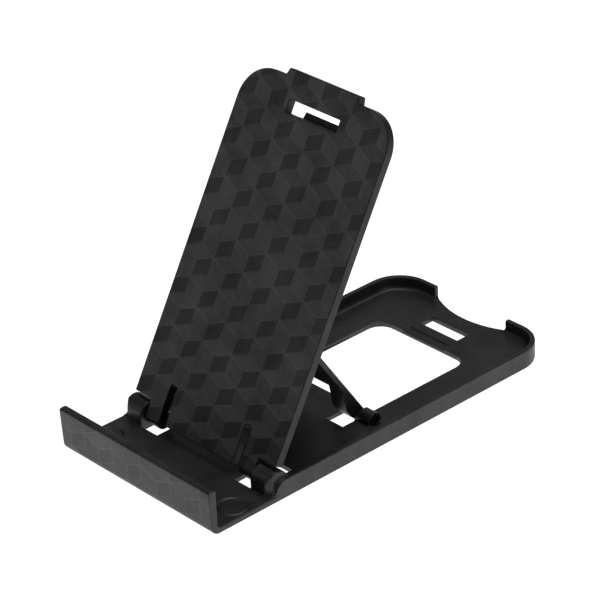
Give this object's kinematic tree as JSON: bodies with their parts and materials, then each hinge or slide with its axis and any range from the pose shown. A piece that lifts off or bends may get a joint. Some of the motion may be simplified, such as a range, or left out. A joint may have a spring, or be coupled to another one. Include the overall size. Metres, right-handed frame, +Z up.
{
  "type": "phone stand",
  "caption": "Flat-folding desktop phone stand: shallow tray base with a front lip, a hinged back plate with a thumb tab and latch hook, and a hinged prop strut.",
  "frame": {"origin": "middle of the base's underside, half way between the lip's front and the rear edge", "axes": "+X along the hinges to the right of a person facing the lip, +Y from the lip to the rear, +Z up"},
  "size_m": [0.057, 0.12, 0.0884],
  "materials": {
    "base_plastic": "satin moulded black ABS with a fine ribbed cube pattern on the lip",
    "plate_plastic": "satin moulded black ABS with a fine ribbed cube pattern on the front face",
    "strut_plastic": "satin moulded black ABS"
  },
  "bodies": {
    "base": {"base": "base_plastic"},
    "back_plate": {"back_plate": "plate_plastic"},
    "strut": {"strut": "strut_plastic"}
  },
  "joints": [
    {"name": "plate_hinge", "type": "hinge", "parent": "base", "child": "back_plate", "pos_m": [0, -0.0368, 0.004], "axis": [1, 0, 0], "range_deg": [-60.5, 14]},
    {"name": "strut_hinge", "type": "hinge", "parent": "base", "child": "strut", "pos_m": [0, 0.00217, 0.002], "axis": [1, 0, 0], "range_deg": [-123.94, 28.7]}
  ],
  "couplings": [
    {"joint": "strut_hinge", "follows": "plate_hinge", "ratio": 2.0484}
  ]
}
